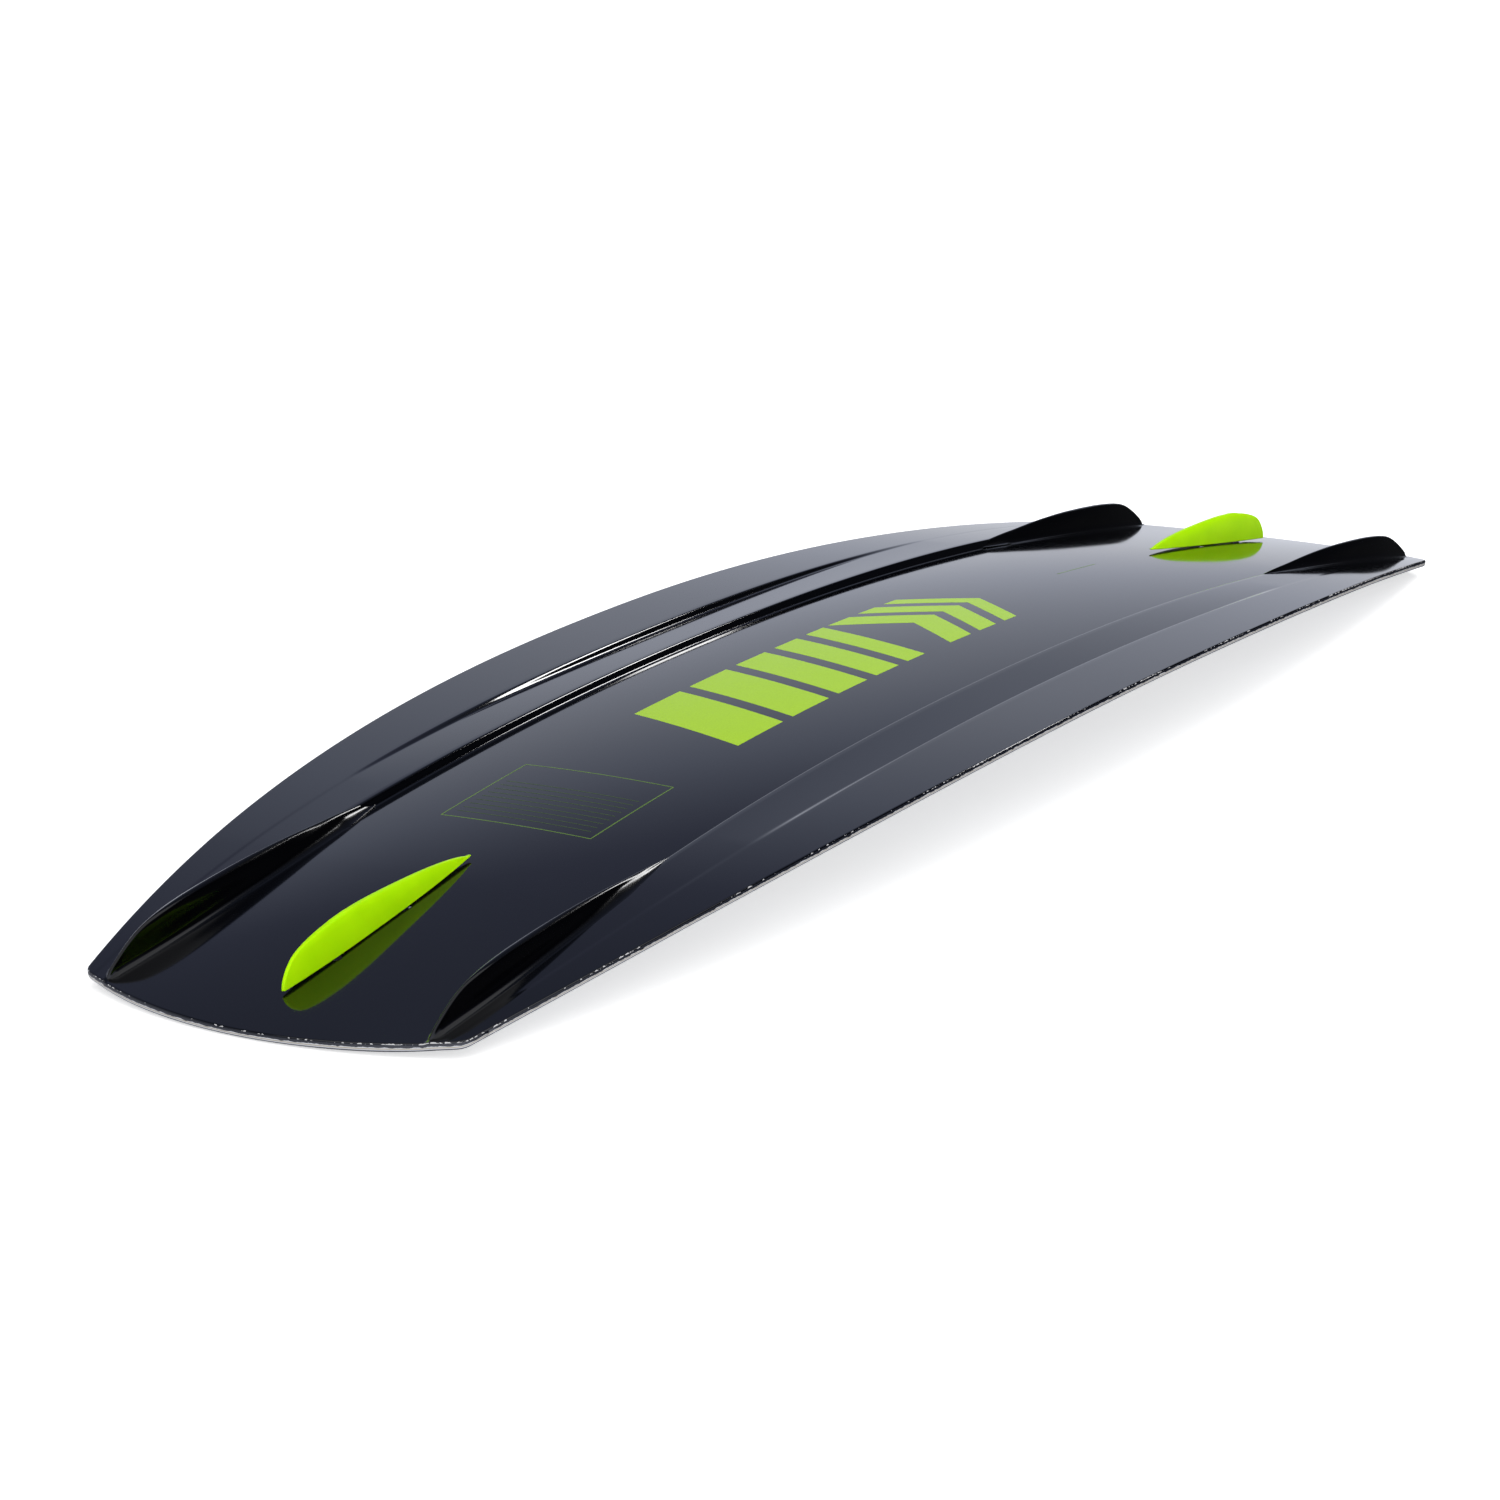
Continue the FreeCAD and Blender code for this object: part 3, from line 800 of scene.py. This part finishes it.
def centre_fin(end, material):
    """The bolted fin, with two bores in its foot for the threads."""
    points = [loop_of(*row, FIN_EDGE_ROUND) for row in centre_fin_levels()]
    columns = len(points[0])
    faces = grid_faces(len(points), columns, closed=True)
    faces.append(tuple(reversed(range(columns))))
    first = (len(points) - 1) * columns
    faces.append(tuple(first + i for i in range(columns)))
    piece = make_piece(
        "lime_fin_" + end, placed(centre_fin_frame(end), np.vstack(points)), faces, material,
        "centre_fin_" + end, ["centre_fin_" + end],
    )
    recalculate_normals(piece)
    drill(piece, [end], BARREL_R, (-0.004, BARREL_TOP))


def centre_fin_frame(end):
    """The bolted fin's frame; its screws run along local Z."""
    return fin_frame(end, FIN_X, 0.0, float(panel_drop(FIN_X)))


def rods(ends, radius, heights):
    """Round rods on the fin screws' axes, between two heights over the base."""
    points, faces = [], []
    turn = np.linspace(0.0, 2 * math.pi, 48, endpoint=False)
    ring = np.column_stack([radius * np.cos(turn), radius * np.sin(turn)])
    sides = len(ring)
    for end in ends:
        for place in SCREW_PLACES:
            first = len(points) * 2 * sides
            loops = [np.column_stack([ring + (place, 0.0), np.full(sides, z)]) for z in heights]
            points.append(placed(centre_fin_frame(end), np.vstack(loops)))
            faces += grid_faces(2, sides, first, closed=True)
            faces.append(tuple(first + i for i in reversed(range(sides))))
            faces.append(tuple(first + sides + i for i in range(sides)))
    return np.vstack(points), faces


def drill(piece, ends, radius, heights):
    """Cuts holes for the fin screws through a piece."""
    points, faces = rods(ends, radius, heights)
    mesh = bpy.data.meshes.new("drill")
    mesh.from_pydata([tuple(p) for p in points], [], faces)
    tool = bpy.data.objects.new("drill", mesh)
    bpy.context.scene.collection.objects.link(tool)
    recalculate_normals(tool)
    cut = piece.modifiers.new("drill", "BOOLEAN")
    cut.operation = "DIFFERENCE"
    cut.solver = "EXACT"
    cut.object = tool
    bpy.context.view_layer.update()
    shape = piece.evaluated_get(bpy.context.evaluated_depsgraph_get())
    drilled = bpy.data.meshes.new_from_object(shape)
    piece.modifiers.clear()
    piece.data = drilled
    bpy.data.objects.remove(tool)


def ridge_height(rows, along):
    """Height of a fin's ridge over its foot line, along the fin."""
    inner = np.interp(along, rows[:, 1], rows[:, 0])
    outer = np.interp(-along, -rows[:, 2], rows[:, 0])
    crest = (rows[-1, 1] + rows[-1, 2]) / 2
    bulge = 0.0003 * np.maximum(0.0, 1.0 - ((along - crest) / (rows[-1, 2] - crest)) ** 2)
    return np.where(along < crest, inner, outer) + bulge


def blank_half(rows, along, height):
    """Half thickness of the fin's blank at a place along it and a height."""
    inner = np.interp(height, rows[:, 0], rows[:, 1])
    outer = np.interp(height, rows[:, 0], rows[:, 2])
    half = np.interp(height, rows[:, 0], rows[:, 3])
    share = np.clip(np.abs(along - (inner + outer) / 2) / ((outer - inner) / 2), 0.0, 1.0)
    return half * (1.0 - share ** SECTION_FULLNESS)


def side_fin(end, side, material):
    """A moulded fin whose faces run out into the base in a round."""
    matrix = fin_frame(end, SIDE_FIN_X, SIDES[side] * SIDE_FIN_Y, 0.0)
    rows = between_rows(SIDE_FIN_SECTIONS, 8)
    swing = np.cos(np.linspace(0.0, math.pi, 130))
    stations = SIDE_FIN_MIDDLE - SIDE_FIN_REACH * swing
    grid = np.array([side_fin_section(matrix, rows, along) for along in stations])
    count = grid.shape[1]
    faces = grid_faces(len(grid), count, closed=True)
    last = (len(grid) - 1) * count
    faces.append(tuple(range(count)))
    faces.append(tuple(last + i for i in reversed(range(count))))
    piece = make_piece(
        f"moulded_fin_{end}_{side}", placed(matrix, grid.reshape(-1, 3)), faces, material,
        "board", [f"side_fin_{end}_{side}"],
    )
    recalculate_normals(piece)


def foot_level(matrix, along, offset):
    """Height of the base beside a fin, in the fin's frame."""
    level = 0.0
    for _ in range(3):
        spot = matrix @ Vector((along, offset, level))
        level += float(base_height(spot.x, spot.y)) - spot.z
    return level


def side_fin_section(matrix, rows, along):
    """One upright section across the fin, from foot to foot over its ridge."""
    ridge = float(ridge_height(rows, along))
    left = side_fin_half(matrix, rows, along, ridge, 1)
    right = side_fin_half(matrix, rows, along, ridge, -1)
    return left + [(along, 0.0, ridge)] + right[::-1]


def side_fin_half(matrix, rows, along, ridge, face):
    """One face of the fin, from under the base up to its ridge."""
    wide = float(blank_half(rows, along, 0.0))
    foot = min(foot_level(matrix, along, face * (wide + 0.003)), ridge - 0.0004)
    rise = ridge - foot
    radius = min(FOOT_ROUND, 0.8 * rise)
    edge = min(1.5 * FIN_EDGE_ROUND, 0.5 * rise)
    line = []
    for share in 1.0 - np.cos(np.linspace(0.0, 0.5 * math.pi, 24)[:-1]):
        share = 1.0 - (1.0 - share) ** 1.2
        height = foot + rise * share
        body = float(blank_half(rows, along, height))
        near = max(0.0, edge - (ridge - height))
        cap = 0.7 * math.sqrt(edge ** 2 - near ** 2)
        toe = max(0.0, 1.0 - (height - foot) / radius)
        flare = 0.8 * radius * (1.0 - math.sqrt(1.0 - toe ** 2))
        line.append((along, face * (math.hypot(body, cap) + flare), height))
    toe_y = line[0][1]
    under = [(along, 0.5 * toe_y, foot - 0.0006), (along, toe_y + face * 0.0003, foot - 0.0005)]
    return under + line


# ---- prints on the base ----------------------------------------------------------------------
PRINT_RISE = 0.00006       # how far a print stands over the base, and how deep it reaches
PRINT_SINK = 0.00030


def patch(corners, across=2, along=6):
    """A thin closed inlay over four corners in plan, following the base."""
    a, b, c, d = (np.array(p, float) for p in corners)
    spots = []
    for i in np.linspace(0.0, 1.0, along + 1):
        for j in np.linspace(0.0, 1.0, across + 1):
            spots.append((a * (1 - i) + b * i) * (1 - j) + (d * (1 - i) + c * i) * j)
    spots = np.array(spots)
    height = base_height(spots[:, 0], spots[:, 1])
    top = np.column_stack([spots, height + PRINT_RISE])
    low = np.column_stack([spots, height - PRINT_SINK])
    rows, columns = along + 1, across + 1
    faces = grid_faces(rows, columns)
    count = len(spots)
    faces += [tuple(count + i for i in reversed(face)) for face in grid_faces(rows, columns)]
    ring = list(range(columns))
    ring += [i * columns + columns - 1 for i in range(1, rows)]
    ring += [count - 1 - i for i in range(1, columns)]
    ring += [(rows - 1 - i) * columns for i in range(1, rows - 1)]
    for i, j in zip(ring, ring[1:] + ring[:1]):
        faces.append((i, j, count + j, count + i))
    return np.vstack([top, low]), faces


def print_piece(name, quads, material, across=8, along=8):
    """One print, made of a patch over each four corners."""
    points, faces = [], []
    for corners in quads:
        more, shape = patch(corners, across, along)
        first = sum(len(p) for p in points)
        points.append(more)
        faces += [tuple(first + i for i in face) for face in shape]
    piece = make_piece(
        name, np.vstack(points), faces, material, "board", smooth=False
    )
    recalculate_normals(piece)


MARK_START = -0.225
MARK_LOW, MARK_HIGH = -0.0475, 0.0516
MARK_SLANT = 0.030
MARK_GAP = 0.013
MARK_POINT = 0.036         # how far a chevron's point runs ahead of its ends


def mark_quads():
    """Slanted bars that get narrower, then three chevrons that point to the tail."""
    quads = []
    x = MARK_START
    for width in (0.058, 0.048, 0.039, 0.031, 0.024):
        quads.append([
            (x, MARK_LOW), (x + width, MARK_LOW),
            (x + width + MARK_SLANT, MARK_HIGH), (x + MARK_SLANT, MARK_HIGH),
        ])
        x += width + MARK_GAP
    middle = (MARK_LOW + MARK_HIGH) / 2
    x += 0.024
    for width in (0.030, 0.024, 0.018):
        point = x + MARK_POINT
        bend = [(point, middle), (point + width, middle)]
        quads.append([(x, MARK_LOW), (x + width, MARK_LOW), *reversed(bend)])
        quads.append([*bend, (x + width, MARK_HIGH), (x, MARK_HIGH)])
        x += width + MARK_GAP
    return quads


def line_quad(start, end, width):
    """Corners of a straight line of some width."""
    a, b = Vector(start), Vector(end)
    across = (b - a).normalized().orthogonal() * width / 2
    return [tuple(a - across), tuple(b - across), tuple(b + across), tuple(a + across)]


def label_quads():
    """The thin frame of a plain panel; nothing is written in it."""
    low_x, high_x, low_y, high_y = -0.412, -0.313, -0.052, 0.061
    thin = 0.0009
    return [
        line_quad((low_x, low_y), (high_x, low_y), thin),
        line_quad((low_x, high_y), (high_x, high_y), thin),
        line_quad((low_x, low_y), (low_x, high_y), thin),
        line_quad((high_x, low_y), (high_x, high_y), thin),
    ]


def rule_quads():
    """Plain rules across the panel."""
    places = np.linspace(-0.402, -0.345, 9)
    return [line_quad((x, -0.046), (x, 0.055), 0.0008) for x in places]


def prints():
    """The plain mark, the empty panel and a dash."""
    lime = print_paint("lime_print", rgb(0.37, 0.62, 0.008), rgb(0.42, 0.69, 0.012))
    line = print_paint("line_print", rgb(0.10, 0.19, 0.03), rgb(0.13, 0.23, 0.04))
    dim = print_paint("dim_print", rgb(0.035, 0.065, 0.018), rgb(0.05, 0.085, 0.024))
    print_piece("mark_bars", mark_quads(), lime)
    print_piece("label_frame", label_quads(), line, across=2, along=24)
    print_piece("label_rules", rule_quads(), dim, across=2, along=24)
    dash = line_quad((0.3187, 0.0015), (0.3798, 0.0015), 0.0011)
    print_piece("tail_dash", [dash], line, across=2)


# ---- carried CAD nodes -----------------------------------------------------------------------
def dress_cad_nodes():
    """Gives every CAD node its finish, by how its name starts."""
    brass = rgb(0.55, 0.38, 0.14), rgb(0.72, 0.53, 0.22)
    screw_steel = rgb(0.42, 0.42, 0.44), rgb(0.62, 0.62, 0.64)
    washer_steel = rgb(0.40, 0.40, 0.42), rgb(0.60, 0.60, 0.62)
    finishes = {
        "base_laminate": woven_paint("glass_cloth"),
        "deck_laminate": woven_paint("glass_cloth_deck"),
        "deck_sheet": deck_paint(),
        "core": foam_paint(),
        "stringer": wood_paint(),
        "insert_block": block_paint(),
        "binding_inserts": metal_paint("insert_brass", brass, 0.25, 0.4),
        "fin_barrels": metal_paint("barrel_brass", brass, 0.25, 0.4),
        "fin_sleeves": sleeve_paint(),
        "fin_screw": metal_paint("screw_steel", screw_steel, 0.2, 0.35),
        "fin_washer": metal_paint("washer_steel", washer_steel, 0.25, 0.4),
    }
    for name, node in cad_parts.items():
        for start, material in finishes.items():
            if name.startswith(start):
                node.data.materials.clear()
                node.data.materials.append(material)


# ---- floor, light and camera -----------------------------------------------------------------
# colour of the sky's light at the sine of its elevation
SKY = (
    (0.0, (0.84, 0.87, 0.96)), (0.1, (0.71, 0.75, 0.88)), (0.3, (0.52, 0.56, 0.68)),
    (0.4, (0.37, 0.41, 0.54)), (0.5, (0.17, 0.19, 0.29)), (0.8, (0.10, 0.12, 0.18)),
)
FLOOR_REACH = 40.0
LAMP_AWAY = 4.0
DARK_SIDE = math.radians(-25.0)      # an unlit part of the studio, seen in the fins
BRIGHT_SIDE = math.radians(-130.0)   # the brightest part, behind the camera


def studio():
    """A pale floor that glows a little, so that shadows on it stay soft."""
    paint = Paint("studio_floor", Roughness=0.9, Emission_Strength=0.60)
    tone = paint.ramp(paint.noise(3.0, 2.0), (0.3, (0.90, 0.90, 0.90)), (0.7, (0.92, 0.92, 0.92)))
    paint.set(Base_Color=tone, Emission_Color=rgb(1.0, 1.0, 1.0))
    mesh = bpy.data.meshes.new("floor")
    corners = [(-1, -1, 0), (1, -1, 0), (1, 1, 0), (-1, 1, 0)]
    mesh.from_pydata([Vector(c) * FLOOR_REACH for c in corners], [], [(0, 1, 2, 3)])
    floor = bpy.data.objects.new("floor", mesh)
    bpy.context.scene.collection.objects.link(floor)
    mesh.materials.append(paint.material)
    floor.visible_glossy = False


def sky():
    """A pale sky, darker overhead, with one dark and one bright side."""
    world = bpy.data.worlds.new("studio")
    bpy.context.scene.world = world
    world.use_nodes = True
    nodes = Nodes(world.node_tree)
    toward = nodes.node("TexCoord").outputs["Generated"]
    height = nodes.node("SeparateXYZ", {"Vector": toward}).outputs["Z"]
    colour = nodes.ramp(height, *SKY)
    dark = facing(nodes, toward, DARK_SIDE, (0.82, 0.66), (0.04, 1.0))
    bright = facing(nodes, toward, BRIGHT_SIDE, (0.2, 0.9), (1.0, 2.6))
    grey = nodes.node("RGBToBW", {"Color": colour}).outputs["Val"]
    soft = nodes.node("LightPath").outputs["Is Diffuse Ray"]
    lit = nodes.dim(nodes.mix(soft, colour, grey), nodes.math("MULTIPLY", dark, bright))
    seen = nodes.node("LightPath").outputs["Is Camera Ray"]
    plain = nodes.mix(seen, lit, rgb(1.0, 1.0, 1.0))
    nodes.put(plain, nodes.tree.nodes["Background"].inputs["Color"])


def facing(nodes, toward, azimuth, seen, levels):
    """A level that changes with how closely a direction faces an azimuth."""
    axis = (math.cos(azimuth), math.sin(azimuth), 0.0)
    product = nodes.node("VectorMath", {0: toward, 1: axis}, operation="DOT_PRODUCT")
    ranges = {"Value": product.outputs["Value"], "From Min": seen[0], "From Max": seen[1]}
    ranges.update({"To Min": levels[0], "To Max": levels[1]})
    return nodes.node("MapRange", ranges, interpolation_type="SMOOTHSTEP").outputs["Result"]


def panel_light(name, azimuth, elevation, wide, tall, power):
    """A rectangular lamp that faces the middle of the board."""
    light = bpy.data.lights.new(name, "AREA")
    light.shape = "RECTANGLE"
    light.size, light.size_y = wide, tall
    light.energy = power
    lamp = bpy.data.objects.new(name, light)
    toward = direction(azimuth, elevation)
    lamp.location = toward * LAMP_AWAY
    lamp.rotation_euler = toward.to_track_quat("Z", "Y").to_euler()
    lamp.visible_camera = False
    bpy.context.scene.collection.objects.link(lamp)


def direction(azimuth, elevation):
    """Towards a lamp, from the middle of the board, in degrees."""
    a, e = math.radians(azimuth), math.radians(elevation)
    return Vector((math.cos(a) * math.cos(e), math.sin(a) * math.cos(e), math.sin(e)))


def sun_light(name, azimuth, elevation, strength, spread):
    """A far lamp, as wide as its spread in degrees."""
    light = bpy.data.lights.new(name, "SUN")
    light.energy = strength
    light.angle = math.radians(spread)
    lamp = bpy.data.objects.new(name, light)
    lamp.rotation_euler = direction(azimuth, elevation).to_track_quat("Z", "Y").to_euler()
    bpy.context.scene.collection.objects.link(lamp)


def lights():
    sun_light("overhead", -125.0, 66.0, 2.1, 100.0)
    panel_light("strip", -14.0, 36.5, 1.4, 0.32, 30.0)


def camera():
    """The viewpoint: low, off the nose, looking along the board."""
    data = bpy.data.cameras.new("camera")
    data.lens = 126.22
    data.sensor_width = 36.0
    data.clip_end = 200.0
    eye = bpy.data.objects.new("camera", data)
    eye.location = (-3.0694, -1.7663, 0.9895)
    eye.rotation_euler = [math.radians(a) for a in (74.43, 0.421, -59.109)]
    bpy.context.scene.collection.objects.link(eye)
    bpy.context.scene.camera = eye


def build():
    """The pieces, then the studio."""
    base_sheet(base_paint())
    edge_strips(edge_paint())
    black, lime = side_fin_paint(), lime_fin_paint()
    for end in ENDS:
        centre_fin(end, lime)
        for side in SIDES:
            side_fin(end, side, black)
    prints()
    dress_cad_nodes()
    studio()
    sky()
    lights()
    camera()
    bpy.context.scene.view_settings.view_transform = "Standard"


build()
